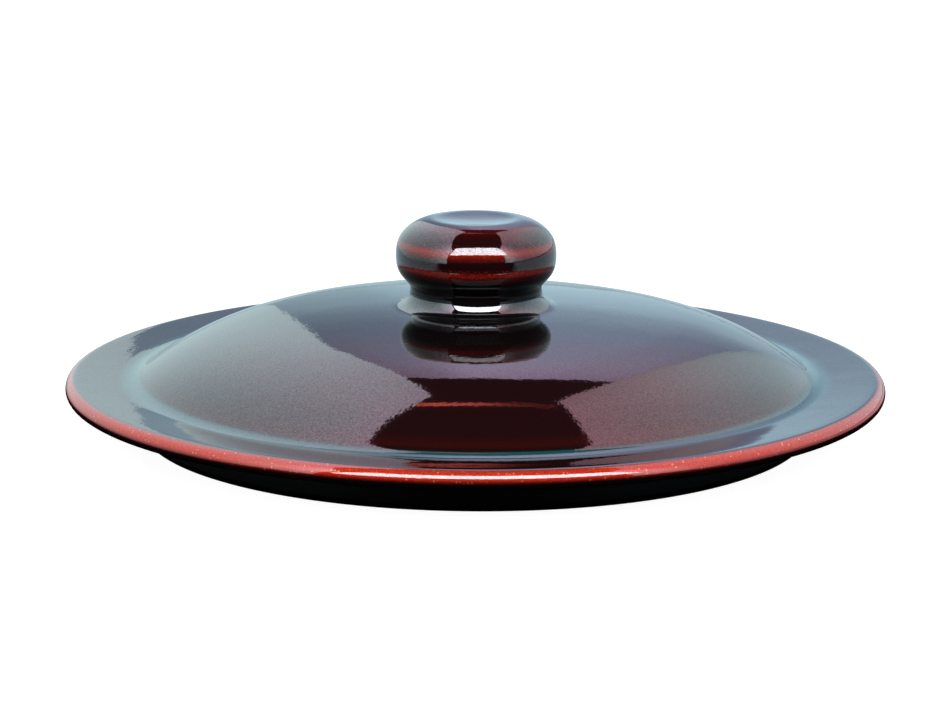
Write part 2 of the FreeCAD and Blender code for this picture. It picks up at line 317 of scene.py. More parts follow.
@dataclass
class Shell:
    """The dome, gutter, flange and rim, and the locating ring with the hollow inside it."""

    rim_radius: float = 120.0
    rim_top_height: float = 16.9
    rim_top_round: float = 3.1
    rim_under_round: float = 2.2
    gutter_height: float = 15.9
    gutter_round: float = 9.0
    seat_radius: float = 113.0
    seat_height: float = 10.4
    crown_height: float = 37.4
    crown_arc_radius: float = 395.0
    crown_arc_turn: float = 8.5
    haunch_arc_radius: float = 89.5
    wall: float = 6.0
    ring_radius: float = 99.0
    ring_wall: float = 6.0
    ring_foot_bevel: float = 2.0
    ring_root_bevel: float = 1.5
    ring_inner_bevel: float = 8.0

    def draw_top(self, outline: Outline) -> None:
        """Adds the upper side, from the knob's root out to the seat's edge.

        Args:
            outline: The outline, which has reached the root.
        """
        crown_centre = self.crown_centre()
        turned = 90 - self.crown_arc_turn
        haunch_centre = self.haunch_centre()
        reach = self.haunch_arc_radius + self.gutter_round
        gutter_centre = beside(haunch_centre, reach, self.gutter_height + self.gutter_round)
        foot_heading = heading_of(haunch_centre, gutter_centre)
        rounds = self.gutter_round + self.rim_top_round
        rim_centre = (self.rim_radius - self.rim_top_round, self.rim_top_height - self.rim_top_round)
        swing = math.asin(rounds / math.dist(gutter_centre, rim_centre))
        rise = heading_of(gutter_centre, rim_centre) + math.degrees(swing)
        under_centre = (self.rim_radius - self.rim_under_round, rim_centre[1])
        seat_edge = (self.seat_radius, self.seat_height)
        swing = math.asin(self.rim_under_round / math.dist(seat_edge, under_centre))
        bevel_heading = heading_of(seat_edge, under_centre) - math.degrees(swing)

        root = heading_of(crown_centre, outline.points[-1])
        outline.arc(crown_centre, self.crown_arc_radius, root, turned)
        outline.arc(haunch_centre, self.haunch_arc_radius, turned, foot_heading)
        outline.arc(gutter_centre, self.gutter_round, 180 + foot_heading, 270 + rise)
        outline.line(on_arc(rim_centre, self.rim_top_round, 90 + rise))
        outline.arc(rim_centre, self.rim_top_round, 90 + rise, 0)
        outline.arc(under_centre, self.rim_under_round, 0, bevel_heading - 90)
        outline.line(seat_edge)

    def draw_underside(self, outline: Outline) -> None:
        """Adds the seat, the locating ring and the hollow, in to the axis.

        Args:
            outline: The outline, which has reached the seat's edge.
        """
        haunch_centre = self.haunch_centre()
        turned = 90 - self.crown_arc_turn
        inner_haunch = self.haunch_arc_radius - self.wall
        bevel_radius = self.bore() - self.ring_inner_bevel
        rise = math.sqrt(inner_haunch**2 - (bevel_radius - haunch_centre[0]) ** 2)
        bevel_height = haunch_centre[1] + rise
        for corner in self.ring_corners()[1:]:
            outline.line(corner)
        outline.line((self.bore(), bevel_height - self.ring_inner_bevel))
        outline.line((bevel_radius, bevel_height))
        bevel_heading = heading_of(haunch_centre, (bevel_radius, bevel_height))
        outline.arc(haunch_centre, inner_haunch, bevel_heading, turned)
        outline.arc(self.crown_centre(), self.crown_arc_radius - self.wall, turned, 90)

    def crown_centre(self) -> Point:
        """The centre of the crown's arc, on the axis."""
        return (0.0, self.crown_height - self.crown_arc_radius)

    def haunch_centre(self) -> Point:
        """The centre of the haunch's arc, on the last radius of the crown's arc."""
        reach = self.crown_arc_radius - self.haunch_arc_radius
        return on_arc(self.crown_centre(), reach, 90 - self.crown_arc_turn)

    def bore(self) -> float:
        """The locating ring's inner radius."""
        return self.ring_radius - self.ring_wall

    def ring_corners(self) -> list[Point]:
        """The corners that the potter's sponge has softened: the seat's edge, then the ring's."""
        bore = self.bore()
        return [
            (self.seat_radius, self.seat_height),
            (self.ring_radius + self.ring_root_bevel, self.seat_height),
            (self.ring_radius, self.seat_height - self.ring_root_bevel),
            (self.ring_radius, self.ring_foot_bevel),
            (self.ring_radius - self.ring_foot_bevel, 0.0),
            (bore + self.ring_foot_bevel, 0.0),
            (bore, self.ring_foot_bevel),
        ]


def ranged(
    tree: Tree, value: Socket, low: float, high: float, least: float = 0.0, most: float = 1.0
) -> Socket:
    """Maps a value from one range to another and holds it inside.

    Args:
        tree: The node tree.
        value: The value's socket.
        low: The value that becomes the least.
        high: The value that becomes the most.
        least: What comes out at the low end.
        most: What comes out at the high end.

    Returns:
        The mapped value's socket.
    """
    ends = {"From Min": low, "From Max": high, "To Min": least, "To Max": most}
    return add_node(tree, "MapRange", {"Value": value, **ends}).outputs["Result"]


def share_of(tree: Tree, length: Socket, low: float, high: float) -> Socket:
    """How far a length has come from one size in millimetres to another, from 0 to 1."""
    return ranged(tree, length, to_metres(low), to_metres(high))


def ramp_of(tree: Tree, share: Socket, stops: list[tuple[float, Colour]]) -> Socket:
    """Colours that run into each other along a share from 0 to 1.

    Args:
        tree: The node tree.
        share: The share's socket.
        stops: The places, from low to high, and the colours there.

    Returns:
        The colour socket.
    """
    node = add_node(tree, "ValToRGB", {"Fac": share})
    ramp = node.color_ramp.elements
    while len(ramp) < len(stops):
        ramp.new(1.0)
    for element, (place, colour) in zip(ramp, stops):
        element.position = place
        element.color = colour
    return node.outputs["Color"]


def banded(tree: Tree, length: Socket, bands: Bands) -> Socket:
    """Colours that run into each other along a length.

    Args:
        tree: The node tree.
        length: The length's socket.
        bands: The places in millimetres, from low to high, and their hex colours.

    Returns:
        The colour socket.
    """
    low, high = bands[0][0], bands[-1][0]
    stops = [((place - low) / (high - low), linear(colour)) for place, colour in bands]
    return ramp_of(tree, share_of(tree, length, low, high), stops)


def blend(tree: Tree, share: Socket, first: Socket | Colour, second: Socket | Colour) -> Socket:
    """Goes from one colour to another by a share from 0 to 1."""
    return add_node(tree, "Mix", {0: share, 6: first, 7: second}, data_type="RGBA").outputs[2]


def between(tree: Tree, share: Socket, first: Socket | float, second: Socket | float) -> Socket:
    """Goes from one value to another by a share from 0 to 1."""
    return add_node(tree, "Mix", {0: share, 2: first, 3: second}, data_type="FLOAT").outputs[0]


def combine(tree: Tree, operation: str, first: Socket | float, second: Socket | float) -> Socket:
    """One Math node on two values."""
    return add_node(tree, "Math", {0: first, 1: second}, operation=operation).outputs[0]


def product(tree: Tree, *factors: Socket | float) -> Socket:
    """Multiplies two or more values."""
    result = factors[0]
    for factor in factors[1:]:
        result = combine(tree, "MULTIPLY", result, factor)
    return result


def graded(tree: Tree, share: Socket, steps: Steps) -> Socket:
    """A value that changes along a share from 0 to 1.

    Args:
        tree: The node tree.
        share: The share's socket.
        steps: The places, from low to high, and the values there.

    Returns:
        The value's socket.
    """
    most = max(value for _, value in steps)
    stops = [(place, (value / most,) * 3 + (1.0,)) for place, value in steps]
    return product(tree, ramp_of(tree, share, stops), most)


def noise(tree: Tree, place: Socket, scale: float, detail: float = 1.0) -> Socket:
    """A soft noise with values round one half."""
    inputs = {"Vector": place, "Scale": scale, "Detail": detail}
    return add_node(tree, "TexNoise", inputs).outputs["Fac"]


def per_metre(spacing: float) -> float:
    """The scale of a pattern that repeats about every so many millimetres."""
    return 1.0 / to_metres(spacing)


def bumped(tree: Tree, height: Socket, depth: float, normal: Socket | None = None) -> Socket:
    """Raises and sinks a surface by a pattern.

    Args:
        tree: The node tree.
        height: The pattern, from 0 to 1.
        depth: How deep it goes, in millimetres.
        normal: An earlier pattern's normal, which this one is laid over.

    Returns:
        The normal socket.
    """
    inputs = {"Height": height, "Distance": to_metres(depth), "Strength": 1.0}
    if normal:
        inputs["Normal"] = normal
    return add_node(tree, "Bump", inputs).outputs[0]


def specks(tree: Tree, place: Socket, spacing: float, cover: float) -> Socket:
    """Scattered round specks, 1 in their middle and 0 beside them.

    Args:
        tree: The node tree.
        place: The place on the piece.
        spacing: The distance from one possible speck to the next, in millimetres.
        cover: The share of the possible specks that are there.

    Returns:
        The specks' socket.
    """
    cells = add_node(tree, "TexVoronoi", {"Vector": place, "Scale": per_metre(spacing)}).outputs
    inside = ranged(tree, cells["Distance"], SPECK_EDGE, SPECK_CORE)
    chance = add_node(tree, "SeparateColor", {0: cells["Color"]}).outputs[0]
    return product(tree, inside, combine(tree, "LESS_THAN", chance, cover))


@dataclass(frozen=True)
class Spot:
    """The sockets that say where on the piece a shaded point lies.

    Attributes:
        flat: The place without its height.
        radius: Its distance from the axis.
        height: Its height over the foot.
    """

    tree: Tree
    place: Socket
    flat: Socket
    radius: Socket
    height: Socket

    @classmethod
    def read(cls, tree: Tree) -> "Spot":
        """Adds the nodes that read the spot.

        Args:
            tree: The material's node tree.

        Returns:
            The spot's sockets.
        """
        place = add_node(tree, "TexCoord").outputs["Object"]
        parts = add_node(tree, "SeparateXYZ", {0: place}).outputs
        flat = add_node(tree, "CombineXYZ", {"X": parts["X"], "Y": parts["Y"]}).outputs[0]
        radius = add_node(tree, "VectorMath", {0: flat}, operation="LENGTH").outputs["Value"]
        return cls(tree, place, flat, radius, parts["Z"])


@dataclass(frozen=True)
class IronGlaze:
    """A glossy iron-red glaze over stoneware, dipped and fired.

    Thick glaze is a nearly black oxblood. Where it runs thin over an edge it breaks to orange,
    with fine specks. Black is also painted as shade round the knob's root, on the knob's underside
    and low on the rim. In the gutter it turns blue: partly a cloudy, milk-blue glaze and partly the
    painted teal of the mirrored side panels. Its face is mirror smooth but slightly wavy, as thrown
    and dipped ware is, with a fine orange peel and the faint rings of the throwing. It lies dry
    under the knob and glassy in the corner at its root.

    Attributes:
        wave_mm: The waves' spacing. The other patterns have theirs too.
        ring_drift: How often a throwing ring changes along its way round.
        speck_cover: The share of the possible specks that are there.
        rim_edge: The radii between which the flange's colour gives way to the rim's.
        knob_reach: The radius that the whole knob lies within.
        knob_foot: The height over which the knob has its own colours.
        root_top: The height over which its underside starts.
        under_knob: The heights between which the glaze goes dry.
        root: The radii between which it goes glassy.
        gloss_range: The least and the most specular level of its grain.
    """

    # Nearly black: glaze that pools on the flange and at the gutter's edge, and painted shade round
    # the knob's root, under the knob and low on the rim.
    pooled_black_and_shade: str = "#0b0808"
    slope: str = "#130a0c"
    thick: str = "#1c080b"
    warm: str = "#1f090b"
    lip_inner: str = "#2c0808"
    haunch: str = "#320a0a"
    # Partly a cloudy, milk-blue glaze and partly the painted teal of the mirrored side panels.
    milky_and_mirrored_teal: str = "#194f55"
    # Painted shade low on the rim.
    under_rim_shade: str = "#3c0a08"
    lip: str = "#4c0c0b"
    belly_edge: str = "#5c1009"
    lower_break: str = "#6a130c"
    thin: str = "#8f1a09"
    rim: str = "#bd3522"
    rim_bright: str = "#d8381c"
    # Painted shade low on the rim, and the colour of the rim's coarse grain.
    rim_low: str = "#83120a"
    speck: str = "#e08a5c"
    knob_speck: str = "#b8380f"
    roughness: float = 0.045
    ior: float = 1.5
    wave_mm: float = 14.0
    wave_depth_mm: float = 0.06
    ring_mm: float = 1.9
    ring_depth_mm: float = 0.008
    ring_drift: float = 5.0
    peel_mm: float = 1.3
    peel_depth_mm: float = 0.01
    grain_mm: float = 0.5
    speck_mm: float = 1.0
    rim_dust_mm: float = 0.45
    knob_dust_mm: float = 0.42
    speck_cover: float = 0.2
    dust_cover: float = 0.6
    dust_strength: float = 0.4
    rim_grain: float = 0.5
    rim_edge: Span = (117.3, 118.2)
    knob_reach: float = 24.5
    knob_foot: float = 41.0
    root_top: float = 40.5
    under_knob: Span = (50.5, 49.7)
    root: Span = (24.5, 22.5)
    gloss_range: Span = (0.3, 0.7)
    dryness: float = 0.8
    root_gloss: float = 0.32

    def build(self) -> bpy.types.Material:
        """Makes the material."""
        material, tree = new_material("iron_red_glaze")
        spot = Spot.read(tree)
        inputs = {
            "Base Color": self.colour(spot),
            "Roughness": self.roughness,
            "IOR": self.ior,
            "Specular IOR Level": self.gloss(spot),
            "Normal": self.surface(spot),
        }
        shader = add_node(tree, "BsdfPrincipled", inputs)
        add_node(tree, "OutputMaterial", {"Surface": shader.outputs[0]})
        return material

    def colour(self, spot: Spot) -> Socket:
        """The glaze's colour, from how thick it lies.

        Args:
            spot: Where the shaded point lies.

        Returns:
            The colour socket.
        """
        tree = spot.tree
        on_rim = share_of(tree, spot.radius, *self.rim_edge)
        body = blend(tree, on_rim, self.body_colour(spot), self.rim_colour(spot))
        on_knob = product(
            tree,
            combine(tree, "LESS_THAN", spot.radius, to_metres(self.knob_reach)),
            combine(tree, "GREATER_THAN", spot.height, to_metres(self.knob_foot)),
        )
        return blend(tree, on_knob, body, self.knob_colour(spot))

    def body_colour(self, spot: Spot) -> Socket:
        """Across the dome, gutter and flange: black painted shade at the root, blue in the gutter.

        Args:
            spot: Where the shaded point lies.

        Returns:
            The colour socket.
        """
        # Black out to 28 mm, fading out by 48 mm, is painted shade round the knob's root.
        bands = [
            # The blue from 98.8 to 102.5 mm is partly a cloudy glaze and partly painted teal
            # reflection.
            (0.0, self.pooled_black_and_shade), (28.0, self.pooled_black_and_shade), (48.0, self.slope), (60.0, self.thick),
            (80.0, self.warm), (93.0, self.warm), (96.4, self.haunch), (97.9, self.pooled_black_and_shade),
            (98.8, self.milky_and_mirrored_teal), (102.5, self.milky_and_mirrored_teal), (104.8, self.pooled_black_and_shade), (120.0, self.pooled_black_and_shade),
        ]
        return banded(spot.tree, spot.radius, bands)

    def rim_colour(self, spot: Spot) -> Socket:
        """Down the rim's edge: orange and specked, and darker towards its bottom as painted shade.

        Args:
            spot: Where the shaded point lies.

        Returns:
            The colour socket.
        """
        tree = spot.tree
        # Below 15.1 mm the rim darkens to black at 13.4 mm: painted shade on the rim's lower side.
        bands = [
            (11.0, self.pooled_black_and_shade), (13.4, self.pooled_black_and_shade), (13.8, self.under_rim_shade),
            (14.2, self.rim_low), (15.1, self.rim_bright), (16.1, self.rim_bright),
            (16.6, self.rim), (17.0, self.rim),
        ]
        bare = banded(tree, spot.height, bands)
        grain = noise(tree, spot.place, per_metre(self.grain_mm), 2.0)
        coarse = ranged(tree, grain, 0.35, 0.7, 0.0, self.rim_grain)
        grainy = product(tree, coarse, share_of(tree, spot.height, 14.2, 15.2))
        grained = blend(tree, grainy, bare, linear(self.rim_low))
        large = specks(tree, spot.place, self.speck_mm, self.speck_cover)
        dust = specks(tree, spot.place, self.rim_dust_mm, self.dust_cover)
        either = combine(tree, "MAXIMUM", large, product(tree, dust, self.dust_strength))
        flecks = product(tree, either, share_of(tree, spot.height, 13.6, 15.0))
        return blend(tree, flecks, grained, linear(self.speck))

    def knob_colour(self, spot: Spot) -> Socket:
        """Up the knob: the glaze breaks over the belly and the lower edge, with fine specks.

        Args:
            spot: Where the shaded point lies.

        Returns:
            The colour socket.
        """
        tree, height = spot.tree, spot.height
        # Black from 41 to 47 mm is painted shade on the knob's neck and underside.
        bands = [
            (41.0, self.pooled_black_and_shade), (47.0, self.pooled_black_and_shade), (48.6, self.haunch),
            (49.6, self.lower_break), (50.7, self.haunch), (51.6, self.thick),
            (53.4, self.thick), (54.6, self.belly_edge), (55.8, self.thin),
            (57.2, self.haunch), (58.6, self.warm), (60.6, self.lip_inner), (61.5, self.lip),
            (62.1, self.thick), (63.0, self.thick),
        ]
        bare = banded(tree, height, bands)
        belly = product(tree, share_of(tree, height, 53.4, 55.0), share_of(tree, height, 58.4, 56.6))
        lower = product(tree, share_of(tree, height, 48.4, 49.4), share_of(tree, height, 51.4, 50.6))
        dust = specks(tree, spot.place, self.knob_dust_mm, self.dust_cover)
        flecks = product(tree, dust, combine(tree, "MAXIMUM", belly, lower))
        return blend(tree, flecks, bare, linear(self.knob_speck))

    def gloss(self, spot: Spot) -> Socket:
        """How strongly the glaze mirrors: grainy, dry under the knob and glassy at its root.

        Args:
            spot: Where the shaded point lies.

        Returns:
            The specular level's socket.
        """
        tree = spot.tree
        grain = noise(tree, spot.place, per_metre(self.grain_mm))
        even = ranged(tree, grain, 0.25, 0.75, *self.gloss_range)
        raised = combine(tree, "GREATER_THAN", spot.height, to_metres(self.root_top))
        near = combine(tree, "LESS_THAN", spot.radius, to_metres(self.knob_reach))
        under = share_of(tree, spot.height, *self.under_knob)
        dry = product(tree, under, raised, near, self.dryness)
        level = product(tree, even, combine(tree, "SUBTRACT", 1.0, dry))
        sunk = combine(tree, "SUBTRACT", 1.0, raised)
        glassy = product(tree, share_of(tree, spot.radius, *self.root), sunk, self.root_gloss)
        return combine(tree, "ADD", level, glassy)

    def surface(self, spot: Spot) -> Socket:
        """The slight waves of a dipped glaze, the throwing rings and the fine orange peel.

        Args:
            spot: Where the shaded point lies.

        Returns:
            The normal socket.
        """
        # Along a ring the pattern changes slowly, and from ring to ring it changes fast.
        tree, kind = spot.tree, "VectorMath"
        around = add_node(tree, kind, {0: spot.flat}, operation="NORMALIZE").outputs[0]
        drift = {0: around, "Scale": self.ring_drift}
        slow = add_node(tree, kind, drift, operation="SCALE").outputs[0]
        out = product(tree, spot.radius, per_metre(self.ring_mm))
        fast = add_node(tree, "CombineXYZ", {"Z": out}).outputs[0]
        ringed = add_node(tree, kind, {0: slow, 1: fast}, operation="ADD").outputs[0]
        waves = noise(tree, spot.place, per_metre(self.wave_mm))
        wavy = bumped(tree, waves, self.wave_depth_mm)
        thrown = bumped(tree, noise(tree, ringed, 1.0), self.ring_depth_mm, wavy)
        peel = noise(tree, spot.place, per_metre(self.peel_mm))
        return bumped(tree, peel, self.peel_depth_mm, thrown)


@dataclass(frozen=True)
class DarkClay:
    """Dark stoneware under a thin matt wash, as on the locating ring.

    It is nearly black, with only a faint sheen, and a fine grit breaks that sheen up.
    """

    colour: str = "#0c0b0c"
    roughness: float = 0.42
    ior: float = 1.45
    specular: float = 0.15
    grit_mm: float = 0.9
    grit_depth_mm: float = 0.02

    def build(self) -> bpy.types.Material:
        """Makes the material."""
        material, tree = new_material("dark_stoneware")
        place = add_node(tree, "TexCoord").outputs["Object"]
        grit = noise(tree, place, per_metre(self.grit_mm), 2.0)
        inputs = {
            "Base Color": linear(self.colour),
            "Roughness": self.roughness,
            "IOR": self.ior,
            "Specular IOR Level": self.specular,
            "Normal": bumped(tree, grit, self.grit_depth_mm),
        }
        shader = add_node(tree, "BsdfPrincipled", inputs)
        add_node(tree, "OutputMaterial", {"Surface": shader.outputs[0]})
        return material


@dataclass
class Lid:
    """The whole lid, turned as one piece: shell and knob.

    Attributes:
        knob: The knob's sizes.
        shell: The sizes of the dome, flange, rim and ring.
        turns: How many steps the full turn has.
        glaze: The finish of the whole upper side.
        clay: The finish of the locating ring.
        under_chord_mm: The longest step along an arc of the underside.
        ring_corner_mm: How far the ring's softened corners reach.
        bore_margin_mm: How far past the ring's bore clay is still found.
        seat_margin_mm: How far over the seat's plane.
    """

    knob: Knob = field(default_factory=Knob)
    shell: Shell = field(default_factory=Shell)
    turns: int = 320
    glaze: IronGlaze = IronGlaze()
    clay: DarkClay = DarkClay()
    under_chord_mm: float = 2.2
    ring_corner_mm: float = 0.7
    corner_steps: int = 3
    merge_mm: float = 0.004
    smooth_angle: float = 35.0
    bore_margin_mm: float = 0.1
    seat_margin_mm: float = 0.02

    def outline(self) -> list[Point]:
        """Draws the half section.

        Returns:
            Its points, from the knob's middle round to the hollow's middle.
        """
        outline = Outline()
        self.knob.draw(outline, self.shell.crown_centre(), self.shell.crown_arc_radius)
        self.shell.draw_top(outline)
        outline.chord = self.under_chord_mm
        self.shell.draw_underside(outline)
        return outline.points

    def turn(self) -> bpy.types.Object:
        """Draws the section point by point and spins it round the axis.

        Returns:
            The turned piece.
        """
        points = self.outline()
        bpy.ops.object.select_all(action="DESELECT")
        bpy.ops.mesh.primitive_plane_add(size=to_metres(1.0))
        lid = bpy.context.active_object
        lid.name = "turned_lid"
        lid.data.name = "turned_lid"

        # The plane is brought down to one point on the axis, and the outline grows from it.
        bpy.ops.object.mode_set(mode="EDIT")
        bpy.ops.mesh.select_all(action="SELECT")
        bpy.ops.mesh.merge(type="CENTER")
        bpy.ops.transform.translate(value=(0.0, 0.0, to_metres(points[0][1])))
        for start, end in zip(points, points[1:]):
            step = (to_metres(end[0] - start[0]), 0.0, to_metres(end[1] - start[1]))
            bpy.ops.mesh.extrude_vertices_move(TRANSFORM_OT_translate={"value": step})
        self.soften_corners(lid)
        bpy.ops.mesh.select_all(action="SELECT")
        bpy.ops.mesh.spin(
            steps=self.turns, angle=2 * math.pi, center=(0.0, 0.0, 0.0), axis=(0.0, 0.0, 1.0)
        )
        bpy.ops.mesh.select_all(action="SELECT")
        bpy.ops.mesh.remove_doubles(threshold=to_metres(self.merge_mm))
        bpy.ops.mesh.normals_make_consistent(inside=False)
        bpy.ops.object.mode_set(mode="OBJECT")
        bpy.ops.object.shade_smooth_by_angle(angle=math.radians(self.smooth_angle))
        return lid

    def soften_corners(self, lid: bpy.types.Object) -> None:
        """Rounds the ring's corners on the open outline, in edit mode.

        Args:
            lid: The object whose mesh is the outline.
        """
        bpy.ops.object.mode_set(mode="OBJECT")
        corners = self.shell.ring_corners()
        for vertex in lid.data.vertices:
            place = (to_millimetres(vertex.co.x), to_millimetres(vertex.co.z))
            vertex.select = any(math.dist(place, corner) < SAME_POINT_MM for corner in corners)
        bpy.ops.object.mode_set(mode="EDIT")
        bpy.ops.mesh.select_mode(type="VERT")
        bpy.ops.mesh.bevel(
            offset=to_metres(self.ring_corner_mm),
            segments=self.corner_steps,
            affect="VERTICES",
            clamp_overlap=True,
        )

    def dress(self, lid: bpy.types.Object) -> None:
        """Gives the piece its finishes: clay on the ring's faces, glaze everywhere else.

        Args:
            lid: The turned piece.
        """
        lid.data.materials.clear()
        lid.data.materials.append(self.glaze.build())
        lid.data.materials.append(self.clay.build())
        inner = self.shell.bore() - self.bore_margin_mm
        top = self.shell.seat_height + self.seat_margin_mm
        for face in lid.data.polygons:
            reach = to_millimetres(math.hypot(face.center.x, face.center.y))
            height = to_millimetres(face.center.z)
            bare = inner < reach < self.shell.seat_radius and height < top
            face.material_index = 1 if bare else 0

    def make(self) -> None:
        """Builds the lid, dresses it and puts it in the place of the CAD solid."""
        lid = self.turn()
        self.dress(lid)
        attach(lid, "root")
        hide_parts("lid")
        log.info("%s: %d faces in one turned piece", lid.name, len(lid.data.polygons))


@dataclass
class Panel:
    """A flat studio panel that faces the object.

    The glaze mirrors a card at the panel's real strength, and a lamp of the same size lights
    the surfaces at the plain level, so colours render as they are written. Its sizes are shares
    of how far it stands off: along the floor if it is upright, and straight to it if it tips.

    Attributes:
        name: The panel's name.
        azimuth: Where its middle stands, in degrees from straight behind the object, positive
            towards the right.
        elevation: How high its middle stands over the floor, in degrees.
        distance: How far its middle is from the object, in metres.
        width: Its width, as a share.
        height: Its height, as a share.
        tint: Its colour up its height, as pairs of place and hex colour.
        rise: Its mirrored strength up its height, as pairs of place and strength.
        swell: How that changes from left to right, as pairs of place and factor.
        light: The strength of its lamp.
        upright: Whether it stands upright, or tips to face the object.
        aside: How far its middle is moved along it to the right, as a share.
        foot: How far its lower left and lower right corners are moved to the right, likewise.
    """

    name: str
    azimuth: float
    elevation: float
    distance: float
    width: float
    height: float
    tint: Bands
    rise: Steps
    swell: Steps
    light: float
    upright: bool = True
    aside: float = 0.0
    foot: tuple[float, float] = (0.0, 0.0)

    def reach(self) -> float:
        """How far it stands off, in metres: the length that its sizes are shares of."""
        level = math.cos(math.radians(self.elevation)) if self.upright else 1.0
        return level * self.distance

    def size(self) -> tuple[float, float]:
        """Its width and height in metres."""
        return (self.width * self.reach(), self.height * self.reach())

    def pose(self) -> Matrix:
        """Where the panel stands.

        Returns:
            Its place, with its face towards the object and its own Y upwards.
        """
        turn = math.radians(self.azimuth)
        lift = math.radians(self.elevation)
        level = math.cos(lift)
        out = Vector((math.sin(turn) * level, math.cos(turn) * level, math.sin(lift)))
        middle = out * self.distance + Vector((0.0, 0.0, to_metres(PANEL_AIM_MM)))
        back = out.copy()
        if self.upright:
            back.z = 0.0
        facing = -back.normalized()
        side = Vector((0.0, 0.0, 1.0)).cross(facing).normalized()
        up = facing.cross(side)
        turned = Matrix((side, up, facing)).transposed().to_4x4()
        return Matrix.Translation(middle + side * self.aside * self.reach()) @ turned

    def card(self) -> None:
        """The card that the glaze mirrors."""
        card = new_plane(f"{self.name}_card", *self.size())
        for right, shift in enumerate(self.foot):
            self.move_corner(card, bool(right), shift * self.reach())
        card.matrix_world = self.pose()
        card.data.materials.append(self.glow())
        hide_from(card, (Ray.CAMERA, Ray.SURFACE, Ray.THROUGH, Ray.HAZE, Ray.SHADOW))

    def move_corner(self, card: bpy.types.Object, right: bool, shift: float) -> None:
        """Moves one lower corner of the card along its foot.

        Args:
            card: The card, in object mode.
            right: Whether it is the right corner.
            shift: How far it moves to the right, in metres.
        """
        for vertex in card.data.vertices:
            vertex.select = vertex.co.y < 0.0 and (vertex.co.x > 0.0) == right
        bpy.ops.object.mode_set(mode="EDIT")
        bpy.ops.mesh.select_mode(type="VERT")
        bpy.ops.transform.translate(value=(shift, 0.0, 0.0))
        bpy.ops.object.mode_set(mode="OBJECT")

    def glow(self) -> bpy.types.Material:
        """The card's even or graded glow, by its own coordinates."""
        material, tree = new_material(f"{self.name}_glow")
        place = add_node(tree, "TexCoord").outputs["Object"]
        parts = add_node(tree, "SeparateXYZ", {0: place}).outputs
        width, height = self.size()
        across = ranged(tree, parts["X"], -width / 2, width / 2)
        up = ranged(tree, parts["Y"], -height / 2, height / 2)
        strength = product(tree, graded(tree, up, self.rise), graded(tree, across, self.swell))
        tint = ramp_of(tree, up, [(at, linear(colour)) for at, colour in self.tint])
        glow = add_node(tree, "Emission", {"Color": tint, "Strength": strength})
        add_node(tree, "OutputMaterial", {"Surface": glow.outputs[0]})
        return material

    def lamp(self) -> None:
        """The lamp behind the card, which lights surfaces and isn't mirrored."""
        data = bpy.data.lights.new(f"{self.name}_lamp", "AREA")
        data.shape = "RECTANGLE"
        data.size, data.size_y = self.size()
        data.energy = self.light * math.pi * data.size * data.size_y
        lamp = bpy.data.objects.new(f"{self.name}_lamp", data)
        bpy.context.scene.collection.objects.link(lamp)
        # A lamp shines along its own -Z, and the card faces along its +Z.
        lamp.matrix_world = self.pose() @ Matrix.Rotation(math.pi, 4, "Y")
        hide_from(lamp, (Ray.MIRROR,))

    def make(self) -> None:
        """Builds the card, and the lamp if the panel lights surfaces."""
        self.card()
        if self.light > 0:
            self.lamp()
        log.info("%s: in place", self.name)


